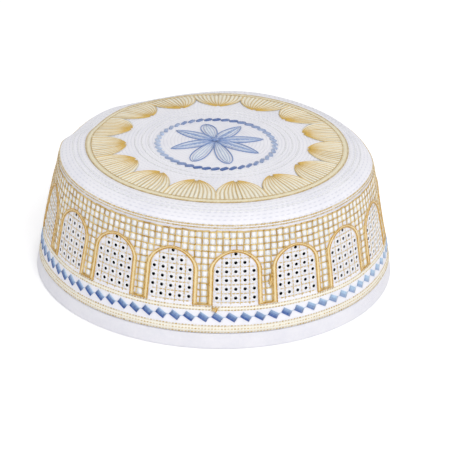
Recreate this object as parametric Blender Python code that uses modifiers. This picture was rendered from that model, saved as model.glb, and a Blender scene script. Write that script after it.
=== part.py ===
"""Embroidered prayer cap: a round cap of padded white cotton with gold and blue embroidery.

The cap stands on its rim at z = 0, centred on the Z axis, with its front towards -Y.
Azimuths are in degrees from the front, positive towards +X. Every piece is first made in the cap's
true round form, or laid flat and wrapped on it, and is then settled by one soft shape: the slight
oval of the rim, the lean of the top and the dents and folds of the worn cloth.
"""

import math

import bmesh
import bpy
from mathutils import Matrix, Vector

# Overall form, in metres
RIM_RADIUS = 0.0905
SEAM_RADIUS = 0.0790
SEAM_HEIGHT = 0.0602
SHOULDER_WIDTH = 0.0130
SHOULDER_HEIGHT = 0.0056
DOME_HEIGHT = 0.0030
RING_RADIUS = SEAM_RADIUS - SHOULDER_WIDTH

# Cloth, and the clearance kept between pieces that touch
WALL_THICKNESS = 0.0018
CROWN_THICKNESS = 0.0018
HEM_PLY = 0.0010
PRESSED_THICKNESS = 0.0010
HEM_HEIGHT = 0.0075
HEM_ROUNDING = 0.0006
GAP = 0.0003

# Raised embroidery
STITCH_HEIGHT = 0.0007
RING_WIDTH = 0.0036
RING_GROOVE = 0.0003

# Arches round the wall: their place between the hem and the seam, and the satin bar that draws them
ARCH_COUNT = 17
ARCH_PITCH = 360.0 / ARCH_COUNT
FIRST_ARCH_AZIMUTH = 7.3
ARCH_SPACING = 0.0051
ARCH_ABOVE_HEM = 0.0140
ARCH_BELOW_SEAM = 0.0104
ARCH_RISE = 0.0103
ARCH_LEG_BAR = 0.0025
ARCH_APEX_BAR = 0.0016
ARCH_POINTING = 1.8
ARCH_STEPS = 10
ARCH_FOOT = HEM_HEIGHT + ARCH_ABOVE_HEM
ARCH_APEX = SEAM_HEIGHT - ARCH_BELOW_SEAM
ARCH_SPRING = ARCH_APEX - ARCH_RISE

# Eyelets in each arch's middle column
EYELET_RADIUS = 0.0007
EYELET_SIDES = 6
EYELET_ABOVE_FOOT = 0.0038
EYELET_BELOW_APEX = 0.0022
EYELETS_PER_COLUMN = 6

# Shells round the crown
SHELL_COUNT = 15
SHELL_PITCH = 360.0 / SHELL_COUNT
FIRST_SHELL_AZIMUTH = 12.0
SHELL_LENGTH = 0.0166
SHELL_FOOT = RING_RADIUS - RING_WIDTH - GAP
SHELL_TIP = SHELL_FOOT - SHELL_LENGTH
SHELL_SIDE_STEPS = 2
SHELL_CUTS = (0.62,)
SHELL_RIBS = (-0.36, 0.36)

# Flower
PETAL_COUNT = 8
PETAL_PITCH = 360.0 / PETAL_COUNT
FIRST_PETAL_AZIMUTH = 13.0
PETAL_LENGTH = 0.0240
PETAL_FULLNESS = 0.88
PETAL_ROOT = 0.0050

# Turning: three facets to each arch, so that a column of eyelets runs down the middle of a facet
FACETS_PER_ARCH = 3
TURN_STEPS = ARCH_COUNT * FACETS_PER_ARCH
WELD = 0.00001

# Half-outline of a shell from its notch to its side: the columns are the share of the shell's half
# pitch to the side and the share of its length outwards from the tip
SHELL_OUTLINE = (
    {"side": 0.00, "out": 0.17},
    {"side": 0.13, "out": 0.00},
    {"side": 0.30, "out": 0.06},
    {"side": 0.58, "out": 0.24},
    {"side": 0.86, "out": 0.43},
    {"side": 1.00, "out": 0.62},
)

# Half-outline of a petal: the share of its length outwards, and the share to the side of the angle
# that its fullness gives it of the petals' half pitch
PETAL_OUTLINE = (
    {"out": 0.42, "side": 1.00},
    {"out": 0.62, "side": 1.00},
    {"out": 0.84, "side": 0.50},
    {"out": 1.00, "side": 0.00},
)

# The cap's soft shape: the rim's depth as a share of its width, and the slope of the top up to the front
OVAL_DEPTH = 0.986
FRONT_SLOPE = 0.007

# Dents and folds: azimuth of the deepest line, how far it spreads to each side in degrees, the shares
# of the seam's height and of the seam's radius where it starts, the pull towards the axis as a share
# of the seam's radius, and the drop as a share of the seam's height
DENTS = (
    {"name": "pushed-in back left", "azimuth": -151.0, "before": 47.0, "after": 35.0,
     "height": 0.47, "radius": 0.71, "pull": 0.034, "drop": 0.040},
    {"name": "dropped left shoulder", "azimuth": -111.0, "before": 25.0, "after": 17.0,
     "height": 0.52, "radius": 0.69, "pull": 0.000, "drop": 0.065},
    {"name": "slack right shoulder", "azimuth": 104.0, "before": 27.0, "after": 69.0,
     "height": 0.55, "radius": 0.84, "pull": 0.018, "drop": 0.026},
    {"name": "low front seam", "azimuth": 24.0, "before": 96.0, "after": 77.0,
     "height": 0.40, "radius": 0.84, "pull": 0.000, "drop": 0.024},
)

WHITE_COTTON = {"name": "white_cotton", "color": (0.80, 0.81, 0.85, 1.0), "roughness": 0.85}
GOLD_THREAD = {"name": "gold_thread", "color": (0.68, 0.42, 0.12, 1.0), "roughness": 0.45}
PALE_GOLD_THREAD = {"name": "pale_gold_thread", "color": (0.80, 0.62, 0.28, 1.0), "roughness": 0.45}
BLUE_THREAD = {"name": "blue_thread", "color": (0.16, 0.27, 0.58, 1.0), "roughness": 0.45}


def wall_radius(height):
    """Outer radius of the leaning wall at a height."""
    return RIM_RADIUS + (SEAM_RADIUS - RIM_RADIUS) * height / SEAM_HEIGHT


def wall_lean():
    """Angle of the wall from the vertical, in radians."""
    return math.atan2(RIM_RADIUS - SEAM_RADIUS, SEAM_HEIGHT)


def crown_height(radius):
    """Height of the crown's outer surface at a radius: a low dome inside the ring, a shoulder outside."""
    if radius <= RING_RADIUS:
        dome = DOME_HEIGHT * (1.0 - (radius / RING_RADIUS) ** 2)
        return SEAM_HEIGHT + SHOULDER_HEIGHT + dome
    out = (radius - RING_RADIUS) / (SEAM_RADIUS - RING_RADIUS)
    return SEAM_HEIGHT + SHOULDER_HEIGHT * math.sqrt(max(0.0, 1.0 - out * out))


def smooth_step(value):
    """Ease from 0 to 1 with level ends."""
    value = min(1.0, max(0.0, value))
    return value * value * (3.0 - 2.0 * value)


def dent_depth(dent, azimuth, radius, height):
    """Share of a dent's full depth that is felt at a place, from 0 to 1."""
    turn = (azimuth - dent["azimuth"] + 180.0) % 360.0 - 180.0
    spread = dent["before"] if turn < 0.0 else dent["after"]
    around = smooth_step(1.0 - abs(turn) / spread)
    start = dent["height"] * SEAM_HEIGHT
    up = smooth_step((height - start) / (SEAM_HEIGHT - start))
    inner = dent["radius"] * SEAM_RADIUS
    out = smooth_step((radius - inner) / (SEAM_RADIUS - inner))
    return around * up * out


def settled(point):
    """Move a point of the true round cap to its place in the worn one."""
    radius = math.hypot(point.x, point.y)
    azimuth = math.degrees(math.atan2(point.x, -point.y))
    pull = 0.0
    drop = 0.0
    for dent in DENTS:
        depth = dent_depth(dent, azimuth, radius, point.z)
        pull += depth * dent["pull"] * SEAM_RADIUS
        drop += depth * dent["drop"] * SEAM_HEIGHT
    inward = 1.0 - pull / max(radius, WELD)
    up = point.z / SEAM_HEIGHT
    slope = -FRONT_SLOPE * point.y * up * up
    return Vector((point.x * inward, point.y * inward * OVAL_DEPTH, point.z + slope - drop))


def arch_radius():
    """Radius of the wall half way up the arches, where their widths are measured."""
    return wall_radius((ARCH_FOOT + ARCH_APEX) / 2.0)


def on_wall(along, height, proud, azimuth):
    """Place of a flat layout's point on the wall: along the wall, up it and proud of its surface."""
    angle = math.radians(azimuth) + along / arch_radius()
    radius = wall_radius(height) + proud
    return Vector((radius * math.sin(angle), -radius * math.cos(angle), height))


def on_crown(radius, azimuth, proud):
    """Place of a point on the crown, from its radius and its azimuth in degrees."""
    angle = math.radians(azimuth)
    return Vector((radius * math.sin(angle), -radius * math.cos(angle), crown_height(radius) + proud))


def thread_material(finish):
    """Principled material from one of the finishes named above."""
    material = bpy.data.materials.get(finish["name"])
    if material is None:
        material = bpy.data.materials.new(finish["name"])
        material.use_nodes = True
        shader = material.node_tree.nodes["Principled BSDF"]
        shader.inputs["Base Color"].default_value = finish["color"]
        shader.inputs["Roughness"].default_value = finish["roughness"]
        shader.inputs["Metallic"].default_value = 0.0
        material.diffuse_color = finish["color"]
    return material


def new_object(name, mesh, collection, finish=None):
    """Object for a mesh, in a collection, with its finish."""
    item = bpy.data.objects.new(name, mesh)
    collection.objects.link(item)
    if finish is not None:
        mesh.materials.append(thread_material(finish))
    return item


def evaluated_mesh(item):
    """Mesh of an object as its modifiers or its curve leave it, in world space and welded."""
    depsgraph = bpy.context.evaluated_depsgraph_get()
    depsgraph.update()
    mesh = bpy.data.meshes.new_from_object(item.evaluated_get(depsgraph))
    mesh.transform(item.matrix_world)
    work = bmesh.new()
    work.from_mesh(mesh)
    bmesh.ops.remove_doubles(work, verts=work.verts, dist=WELD)
    work.to_mesh(mesh)
    work.free()
    return mesh


def turned_mesh(name, profile, collection, closed):
    """Turn a profile of (radius, height) points about the Z axis with a Screw modifier."""
    first_corner = FIRST_ARCH_AZIMUTH + 180.0 / TURN_STEPS - 90.0
    phase = Matrix.Rotation(math.radians(first_corner), 4, "Z")
    work = bmesh.new()
    verts = [work.verts.new(phase @ Vector((radius, 0.0, height))) for radius, height in profile]
    for first, second in zip(verts, verts[1:]):
        work.edges.new((first, second))
    if closed:
        work.edges.new((verts[-1], verts[0]))
    mesh = bpy.data.meshes.new(name + "_profile")
    work.to_mesh(mesh)
    work.free()
    blank = new_object(name + "_profile", mesh, collection)
    screw = blank.modifiers.new("turn", "SCREW")
    screw.axis = "Z"
    screw.angle = 2.0 * math.pi
    screw.steps = TURN_STEPS
    screw.render_steps = TURN_STEPS
    screw.use_merge_vertices = True
    screw.merge_threshold = WELD
    result = evaluated_mesh(blank)
    bpy.data.objects.remove(blank)
    return result


def flat_outline_mesh(name, outline, collection):
    """Slab of a closed flat outline, filled and extruded to the height of the raised stitching."""
    curve = bpy.data.curves.new(name + "_outline", "CURVE")
    curve.dimensions = "2D"
    curve.fill_mode = "BOTH"
    curve.extrude = STITCH_HEIGHT / 2.0
    spline = curve.splines.new("POLY")
    spline.points.add(len(outline) - 1)
    for point, (x, y) in zip(spline.points, outline):
        point.co = (x, y, 0.0, 1.0)
    spline.use_cyclic_u = True
    blank = bpy.data.objects.new(name + "_outline", curve)
    collection.objects.link(blank)
    result = evaluated_mesh(blank)
    bpy.data.objects.remove(blank)
    return result


def cut_flat(mesh, normal, levels):
    """Cut a flat slab's faces along lines square to a normal, so that it can bend there."""
    work = bmesh.new()
    work.from_mesh(mesh)
    for level in levels:
        geometry = work.verts[:] + work.edges[:] + work.faces[:]
        bmesh.ops.bisect_plane(
            work, geom=geometry, dist=WELD, plane_co=Vector(normal) * level, plane_no=normal)
    work.to_mesh(mesh)
    work.free()


def finish_piece(name, mesh, collection, finish):
    """Settle a mesh into the cap's soft shape and keep it as a named piece."""
    for vertex in mesh.vertices:
        vertex.co = settled(vertex.co)
    mesh.name = name
    mesh.materials.clear()
    mesh.shade_smooth()
    mesh.set_sharp_from_angle(angle=math.radians(40.0))
    return new_object(name, mesh, collection, finish)


def inside_wall(height, depth):
    """Profile point at a height whose depth, square to the leaning wall's surface, is given."""
    return wall_radius(height) - depth / math.cos(wall_lean()), height


def crown_profile():
    """Closed profile of the crown from the axis, over the shoulder to the seam and back inside."""
    dome_shares = (0.0, 0.36, 0.69, 0.80, 0.90)
    shoulder_steps = 4
    radii = [share * RING_RADIUS for share in dome_shares]
    for step in range(shoulder_steps):
        swing = math.radians(90.0) * step / shoulder_steps
        radii.append(RING_RADIUS + (SEAM_RADIUS - RING_RADIUS) * math.sin(swing))
    outer = [(radius, crown_height(radius)) for radius in radii]
    edge_height = SEAM_HEIGHT + GAP
    outer.append((wall_radius(edge_height), edge_height))
    inner = [(0.0, outer[0][1] - CROWN_THICKNESS)]
    for before, here, after in zip(outer, outer[1:], outer[2:]):
        run = Vector((after[0] - before[0], after[1] - before[1])).normalized()
        inner.append((here[0] + run.y * CROWN_THICKNESS, here[1] - run.x * CROWN_THICKNESS))
    inner.append(inside_wall(edge_height, CROWN_THICKNESS))
    return outer + inner[::-1]


def band_profile():
    """Closed profile of the side wall, with its lower edge pressed thin inside the hem."""
    rows = (1.0, 0.88, 0.74, 0.56, 0.36)
    inner_rows = (0.36, 0.74, 1.0)
    outer = [inside_wall(share * SEAM_HEIGHT, 0.0) for share in rows]
    outer.append(inside_wall(HEM_HEIGHT + 2.0 * GAP, 0.0))
    pressed_depth = HEM_PLY + GAP
    pressed_top = HEM_HEIGHT + GAP
    pressed_foot = HEM_PLY + GAP
    outer.append(inside_wall(pressed_top, pressed_depth))
    outer.append(inside_wall(pressed_foot, pressed_depth))
    inner = [inside_wall(pressed_foot, pressed_depth + PRESSED_THICKNESS)]
    inner.append(inside_wall(pressed_top, pressed_depth + PRESSED_THICKNESS))
    inner += [inside_wall(share * SEAM_HEIGHT, WALL_THICKNESS) for share in inner_rows]
    return outer + inner


def hem_profile():
    """Closed U-shaped profile of the binding folded round the wall's lower edge."""
    inner_ply = HEM_PLY + GAP + PRESSED_THICKNESS + GAP
    full = inner_ply + HEM_PLY
    return [
        inside_wall(HEM_HEIGHT, 0.0),
        inside_wall(HEM_ROUNDING, 0.0),
        inside_wall(0.0, HEM_ROUNDING),
        inside_wall(0.0, full - HEM_ROUNDING),
        inside_wall(HEM_ROUNDING, full),
        inside_wall(HEM_HEIGHT, full),
        inside_wall(HEM_HEIGHT, inner_ply),
        inside_wall(HEM_PLY, inner_ply),
        inside_wall(HEM_PLY, HEM_PLY),
        inside_wall(HEM_HEIGHT, HEM_PLY),
    ]


def ring_profile():
    """Closed profile of the flat gold ring, with a shallow groove between its two lines."""
    inner = RING_RADIUS - RING_WIDTH
    shares = (1.0, 0.62, 0.38, 0.0)
    tops = [inner + share * RING_WIDTH for share in shares]
    depths = (0.0, RING_GROOVE, RING_GROOVE, 0.0)
    top = [
        (radius, crown_height(radius) + GAP + STITCH_HEIGHT - depth)
        for radius, depth in zip(tops, depths)
    ]
    foot = [(radius, crown_height(radius) + GAP) for radius in (tops[-1], tops[0])]
    return top[::-1] + foot[::-1]


def make_crown(parts):
    """The round top with its turned-down edge."""
    mesh = turned_mesh("crown_panel", crown_profile(), parts, closed=False)
    return finish_piece("crown_panel", mesh, parts, WHITE_COTTON)


def make_eyelet_cutters(cutters):
    """One mesh of the prisms that pierce the middle column of every arch."""
    length = 4.0 * WALL_THICKNESS
    lowest = ARCH_FOOT + EYELET_ABOVE_FOOT
    highest = ARCH_APEX - EYELET_BELOW_APEX
    pitch = (highest - lowest) / (EYELETS_PER_COLUMN - 1)
    work = bmesh.new()
    for arch in range(ARCH_COUNT):
        azimuth = FIRST_ARCH_AZIMUTH + arch * ARCH_PITCH
        for row in range(EYELETS_PER_COLUMN):
            height = lowest + row * pitch
            centre = on_wall(0.0, height, -WALL_THICKNESS / 2.0, azimuth)
            lying = Matrix.Rotation(math.radians(90.0), 4, "X")
            turned = Matrix.Rotation(math.radians(azimuth), 4, "Z")
            bmesh.ops.create_cone(
                work, cap_ends=True, segments=EYELET_SIDES, radius1=EYELET_RADIUS,
                radius2=EYELET_RADIUS, depth=length, matrix=Matrix.Translation(centre) @ turned @ lying)
    mesh = bpy.data.meshes.new("eyelet_cutters")
    work.to_mesh(mesh)
    work.free()
    cutter = new_object("eyelet_cutters", mesh, cutters)
    cutter.hide_render = True
    cutter.display_type = "WIRE"
    return cutter


def make_band(parts, cutters):
    """The side wall, pierced with eyelets."""
    mesh = turned_mesh("side_band", band_profile(), parts, closed=True)
    blank = new_object("side_band_blank", mesh, parts)
    pierce = blank.modifiers.new("pierce", "BOOLEAN")
    pierce.operation = "DIFFERENCE"
    pierce.solver = "EXACT"
    pierce.object = make_eyelet_cutters(cutters)
    pierced = evaluated_mesh(blank)
    bpy.data.objects.remove(blank)
    return finish_piece("side_band", pierced, parts, WHITE_COTTON)


def make_hem(parts):
    """The white binding that the cap rests on."""
    mesh = turned_mesh("hem_band", hem_profile(), parts, closed=True)
    return finish_piece("hem_band", mesh, parts, WHITE_COTTON)


def make_ring(parts):
    """The gold double ring round the crown."""
    mesh = turned_mesh("crown_ring", ring_profile(), parts, closed=True)
    return finish_piece("crown_ring", mesh, parts, PALE_GOLD_THREAD)


def shell_outline():
    """Flat outline of one shell: (share of the half pitch, radius) points, all round it."""
    side = [(row["side"], SHELL_TIP + row["out"] * SHELL_LENGTH) for row in SHELL_OUTLINE]
    foot = [(1.0 - step / SHELL_SIDE_STEPS, SHELL_FOOT) for step in range(SHELL_SIDE_STEPS + 1)]
    right = side + foot
    left = [(-share, radius) for share, radius in right[-2:0:-1]]
    return right + left


def make_shell(number, azimuth, parts):
    """One gold shell, laid flat with its tip away from the front and bent round to its place."""
    half_pitch = math.radians(SHELL_PITCH / 2.0)
    outline = []
    for share, radius in shell_outline():
        half = half_pitch * radius - GAP / 2.0
        outline.append((share * half, -radius))
    mesh = flat_outline_mesh(f"shell_{number:02d}", outline, parts)
    cut_flat(mesh, (0.0, -1.0, 0.0), [SHELL_TIP + share * SHELL_LENGTH for share in SHELL_CUTS])
    half_width = half_pitch * SHELL_FOOT
    cut_flat(mesh, (1.0, 0.0, 0.0), [share * half_width for share in SHELL_RIBS])
    for vertex in mesh.vertices:
        radius = -vertex.co.y
        turn = math.degrees(vertex.co.x / radius)
        proud = GAP + STITCH_HEIGHT / 2.0 + vertex.co.z
        vertex.co = on_crown(radius, azimuth + turn, proud)
    return finish_piece(f"shell_{number:02d}", mesh, parts, GOLD_THREAD)


def flower_outline():
    """Flat outline of the whole flower, petal after petal."""
    outline = []
    reach = PETAL_FULLNESS * PETAL_PITCH / 2.0
    for petal in range(PETAL_COUNT):
        azimuth = FIRST_PETAL_AZIMUTH + petal * PETAL_PITCH
        rows = [(PETAL_ROOT, -PETAL_PITCH / 2.0)]
        rows += [(row["out"] * PETAL_LENGTH, -row["side"] * reach) for row in PETAL_OUTLINE]
        rows += [(row["out"] * PETAL_LENGTH, row["side"] * reach) for row in PETAL_OUTLINE[-2::-1]]
        for radius, turn in rows:
            angle = math.radians(azimuth + turn)
            outline.append((radius * math.sin(angle), -radius * math.cos(angle)))
    return outline


def make_flower(parts):
    """The blue flower in the middle of the crown."""
    mesh = flat_outline_mesh("flower", flower_outline(), parts)
    for vertex in mesh.vertices:
        radius = math.hypot(vertex.co.x, vertex.co.y)
        vertex.co.z += crown_height(radius) + GAP + STITCH_HEIGHT / 2.0
    return finish_piece("flower", mesh, parts, BLUE_THREAD)


def arch_line(half_width, apex):
    """Half of an arch's line from its foot to its apex: (along, height) points."""
    line = [(half_width, ARCH_FOOT), (half_width, (ARCH_FOOT + ARCH_SPRING) / 2.0)]
    power = 2.0 / ARCH_POINTING
    for step in range(ARCH_STEPS // 2 + 1):
        swing = math.radians(90.0) * step / (ARCH_STEPS // 2)
        along = half_width * max(0.0, math.cos(swing)) ** power
        rise = (apex - ARCH_SPRING) * max(0.0, math.sin(swing)) ** power
        line.append((along if step < ARCH_STEPS // 2 else 0.0, ARCH_SPRING + rise))
    return line


def arch_outline():
    """Flat outline of an arch's satin bar, wide at the legs and narrow at the apex."""
    half_width = (math.radians(ARCH_PITCH) * arch_radius() - ARCH_SPACING) / 2.0
    outside = arch_line(half_width, ARCH_APEX)
    inside = arch_line(half_width - ARCH_LEG_BAR, ARCH_APEX - ARCH_APEX_BAR)
    over = outside + [(-along, height) for along, height in outside[-2::-1]]
    under = inside + [(-along, height) for along, height in inside[-2::-1]]
    return over + under[::-1]


def make_arch(number, azimuth, parts):
    """One gold arch, laid flat and wrapped on the wall."""
    mesh = flat_outline_mesh(f"arch_{number:02d}", arch_outline(), parts)
    for vertex in mesh.vertices:
        proud = GAP + STITCH_HEIGHT / 2.0 + vertex.co.z
        vertex.co = on_wall(vertex.co.x, vertex.co.y, proud, azimuth)
    return finish_piece(f"arch_{number:02d}", mesh, parts, GOLD_THREAD)


def new_collection(name):
    """Collection linked to the scene."""
    collection = bpy.data.collections.new(name)
    bpy.context.scene.collection.children.link(collection)
    return collection


def build_cap():
    """Build every piece of the cap."""
    for item in list(bpy.data.objects):
        bpy.data.objects.remove(item)
    parts = new_collection("embroidered_prayer_cap")
    cutters = new_collection("cutters")
    make_crown(parts)
    make_band(parts, cutters)
    make_hem(parts)
    make_ring(parts)
    for number in range(SHELL_COUNT):
        make_shell(number + 1, FIRST_SHELL_AZIMUTH + number * SHELL_PITCH, parts)
    make_flower(parts)
    for number in range(ARCH_COUNT):
        make_arch(number + 1, FIRST_ARCH_AZIMUTH + number * ARCH_PITCH, parts)


build_cap()
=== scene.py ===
"""Embroidered prayer cap, dressed: padded white cotton worked with gold and blue thread.

Every stitch is worked flat, on the layout of the wall or of the crown, and is then laid on the cap's
soft form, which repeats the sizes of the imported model. Sizes are in metres. Azimuths are in degrees
from the front, positive towards +X.
"""

import logging
import math
from dataclasses import dataclass
from enum import Enum
from functools import cache
from typing import Callable, Iterable, Sequence, Union

import bmesh
import bpy
import numpy as np
from mathutils import Matrix, Vector


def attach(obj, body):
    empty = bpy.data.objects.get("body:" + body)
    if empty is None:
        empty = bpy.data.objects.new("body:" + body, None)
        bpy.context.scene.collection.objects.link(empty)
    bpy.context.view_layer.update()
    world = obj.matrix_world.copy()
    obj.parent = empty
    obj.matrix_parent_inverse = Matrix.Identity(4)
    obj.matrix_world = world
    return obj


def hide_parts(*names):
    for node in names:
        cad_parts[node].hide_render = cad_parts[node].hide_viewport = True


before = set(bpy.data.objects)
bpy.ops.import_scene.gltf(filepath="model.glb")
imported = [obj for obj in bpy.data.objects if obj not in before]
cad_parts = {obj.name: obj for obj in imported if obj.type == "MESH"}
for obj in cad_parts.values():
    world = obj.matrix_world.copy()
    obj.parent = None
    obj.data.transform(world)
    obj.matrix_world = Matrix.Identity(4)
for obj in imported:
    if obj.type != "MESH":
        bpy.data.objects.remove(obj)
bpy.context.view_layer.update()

LOG = logging.getLogger("prayer_cap")
BODY = "root"
WELD = 0.000001
SEED = 11

Array = np.ndarray
Number = Union[int, float]
Layout = Callable[[Array], Array]


class Slot(Enum):
    """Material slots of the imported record."""

    COTTON = "white_cotton"
    GOLD = "gold_thread"
    PALE_GOLD = "pale_gold_thread"
    BLUE = "blue_thread"


class Quilting(Enum):
    """How a cotton piece is worked before the coloured thread goes on."""

    ROUNDS = "rounds"
    EYELET_PADS = "eyelet pads"
    BINDING = "binding"


# Form of the cap


@dataclass(frozen=True)
class Dent:
    """A soft dent or fold of the worn cloth.

    Attributes:
        azimuth: Azimuth of its deepest line.
        before: Degrees that it spreads before that line.
        after: Degrees that it spreads past that line.
        height: Share of the seam's height where it starts.
        radius: Share of the seam's radius where it starts.
        pull: Pull towards the axis, as a share of the seam's radius.
        drop: Drop, as a share of the seam's height.
    """

    azimuth: float
    before: float
    after: float
    height: float
    radius: float
    pull: float
    drop: float


def smooth_step(value: Array) -> Array:
    """Ease from 0 to 1 with level ends."""
    value = np.clip(value, 0.0, 1.0)
    return value * value * (3.0 - 2.0 * value)


@dataclass(frozen=True)
class CapForm:
    """The cap's round form and the soft shape that it has settled into."""

    rim_radius: float = 0.0905
    seam_radius: float = 0.0790
    seam_height: float = 0.0602
    shoulder_width: float = 0.0130
    shoulder_height: float = 0.0056
    dome_height: float = 0.0030
    oval_depth: float = 0.986
    front_slope: float = 0.007
    layout_height: float = 0.03565
    ripple: float = 0.00022
    ripples_round: int = 11
    ripple_height: float = 0.031
    dents: tuple[Dent, ...] = (
        Dent(-151.0, 47.0, 35.0, 0.47, 0.71, 0.034, 0.040),
        Dent(-111.0, 25.0, 17.0, 0.52, 0.69, 0.000, 0.065),
        Dent(104.0, 27.0, 69.0, 0.55, 0.84, 0.018, 0.026),
        Dent(24.0, 96.0, 77.0, 0.40, 0.84, 0.000, 0.024),
    )

    @property
    def ring_radius(self) -> float:
        """Radius where the flat of the crown ends and its shoulder starts."""
        return self.seam_radius - self.shoulder_width

    @property
    def lean(self) -> float:
        """Rise of the wall's normal for each metre outwards."""
        return (self.rim_radius - self.seam_radius) / self.seam_height

    @property
    def reach(self) -> float:
        """Radius at which lengths along the wall's flat layout are true."""
        return float(self.wall_radius(np.array(self.layout_height)))

    def wall_radius(self, height: Array) -> Array:
        """Outer radius of the wall at a height, and of the shoulder above the seam."""
        wall = self.rim_radius - (self.rim_radius - self.seam_radius) * height / self.seam_height
        over = np.clip((height - self.seam_height) / self.shoulder_height, 0.0, 1.0)
        shoulder = self.ring_radius + self.shoulder_width * np.sqrt(1.0 - over * over)
        return np.where(height > self.seam_height, shoulder, wall)

    def crown_height(self, radius: Array) -> Array:
        """Height of the crown's outer surface at a radius."""
        dome = self.dome_height * (1.0 - (radius / self.ring_radius) ** 2)
        out = np.clip((radius - self.ring_radius) / self.shoulder_width, 0.0, 1.0)
        shoulder = self.shoulder_height * np.sqrt(1.0 - out * out)
        return self.seam_height + np.where(
            radius <= self.ring_radius, self.shoulder_height + dome, shoulder)

    def dent_depth(self, dent: Dent, azimuth: Array, radius: Array, height: Array) -> Array:
        """Share of a dent's full depth that is felt at each place."""
        turn = (azimuth - dent.azimuth + 180.0) % 360.0 - 180.0
        around = smooth_step(1.0 - np.abs(turn) / np.where(turn < 0.0, dent.before, dent.after))
        up = smooth_step((height / self.seam_height - dent.height) / (1.0 - dent.height))
        out = smooth_step((radius / self.seam_radius - dent.radius) / (1.0 - dent.radius))
        return around * up * out

    def settle(self, points: Array) -> Array:
        """Move points of the true round cap to their places in the worn one.

        Args:
            points: Array of places, the last axis x, y, z.

        Returns:
            Array of the same shape.
        """
        x, y, z = points[..., 0], points[..., 1], points[..., 2]
        radius = np.hypot(x, y)
        azimuth = np.degrees(np.arctan2(x, -y))
        pull = np.zeros_like(radius)
        drop = np.zeros_like(radius)
        for dent in self.dents:
            depth = self.dent_depth(dent, azimuth, radius, z)
            pull += depth * dent.pull * self.seam_radius
            drop += depth * dent.drop * self.seam_height
        swing = np.radians(azimuth) * self.ripples_round
        rise = np.clip(z / self.seam_height, 0.0, 1.0)
        slack = np.sin(math.pi * rise) * np.clip(radius / self.ring_radius - 1.0, 0.0, 0.2) * 5.0
        pull += self.ripple * slack * np.sin(swing + z / self.ripple_height * math.pi)
        inward = 1.0 - pull / np.maximum(radius, WELD)
        up = z / self.seam_height
        slope = -self.front_slope * y * up * up
        return np.stack((x * inward, y * inward * self.oval_depth, z + slope - drop), axis=-1)

    def on_wall(self, flat: Array) -> Array:
        """Lay flat work on the wall: metres along it, height up it, and height proud of it."""
        along, height, proud = flat[..., 0], flat[..., 1], flat[..., 2]
        angle = along / self.reach
        radius = self.wall_radius(height) + proud
        level = height + proud * self.lean
        return self.settle(np.stack((radius * np.sin(angle), -radius * np.cos(angle), level), axis=-1))

    def on_crown(self, flat: Array) -> Array:
        """Lay flat work on the crown: plan x and y, and height proud of it."""
        x, y, proud = flat[..., 0], flat[..., 1], flat[..., 2]
        return self.settle(np.stack((x, y, self.crown_height(np.hypot(x, y)) + proud), axis=-1))

    def along(self, azimuth: float) -> float:
        """Place along the wall's flat layout of an azimuth."""
        return math.radians(azimuth) * self.reach


def polar(radius: Array, azimuth: Array) -> Array:
    """Plan places of radii and azimuths."""
    angle = np.radians(azimuth)
    return np.stack((radius * np.sin(angle), -radius * np.cos(angle)), axis=-1)


def even(points: Array, count: int) -> Array:
    """Spread a number of places evenly along a line of points."""
    steps = np.linalg.norm(np.diff(points, axis=0), axis=1)
    run = np.concatenate(([0.0], np.cumsum(steps)))
    places = np.linspace(0.0, run[-1], count)
    return np.stack([np.interp(places, run, points[:, axis]) for axis in range(2)], axis=-1)


def length_of(points: Array) -> float:
    """Length of a line of points."""
    return float(np.linalg.norm(np.diff(points, axis=0), axis=1).sum())


# Shader maths


class Socket:
    """A node socket that takes part in arithmetic, each operation adding a Math node."""

    def __init__(self, graph: "Graph", socket: bpy.types.NodeSocket) -> None:
        """Keep the socket and the graph that it belongs to."""
        self.graph = graph
        self.socket = socket

    def math(self, operation: str, *others: Union["Socket", Number], first: bool = True) -> "Socket":
        """Join this socket and others in one Math node.

        Args:
            operation: The Math node's operation.
            others: The other values, sockets or numbers.
            first: Whether this socket comes before the others.

        Returns:
            The result.
        """
        values = [self, *others] if first else [*others, self]
        node = self.graph.node(
            "ShaderNodeMath", {"operation": operation}, dict(enumerate(values)))
        return Socket(self.graph, node.outputs[0])

    def __add__(self, other: Union["Socket", Number]) -> "Socket":
        """Sum."""
        return self.math("ADD", other)

    def __sub__(self, other: Union["Socket", Number]) -> "Socket":
        """Difference."""
        return self.math("SUBTRACT", other)

    def __rsub__(self, other: Number) -> "Socket":
        """Difference from a number."""
        return self.math("SUBTRACT", other, first=False)

    def __mul__(self, other: Union["Socket", Number]) -> "Socket":
        """Product."""
        return self.math("MULTIPLY", other)

    def __truediv__(self, other: Union["Socket", Number]) -> "Socket":
        """Quotient."""
        return self.math("DIVIDE", other)

    def sine(self) -> "Socket":
        """Sine of an angle in radians."""
        return self.math("SINE")

    def fraction(self) -> "Socket":
        """What is left past the whole number below."""
        return self.math("FRACT")

    def above(self, level: float) -> "Socket":
        """1 where the value is above a level, otherwise 0."""
        return self.math("GREATER_THAN", level)

    def bell(self) -> "Socket":
        """Cosine of an angle, brought to the range from 0 to 1."""
        return self.math("COSINE") * 0.5 + 0.5


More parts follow.
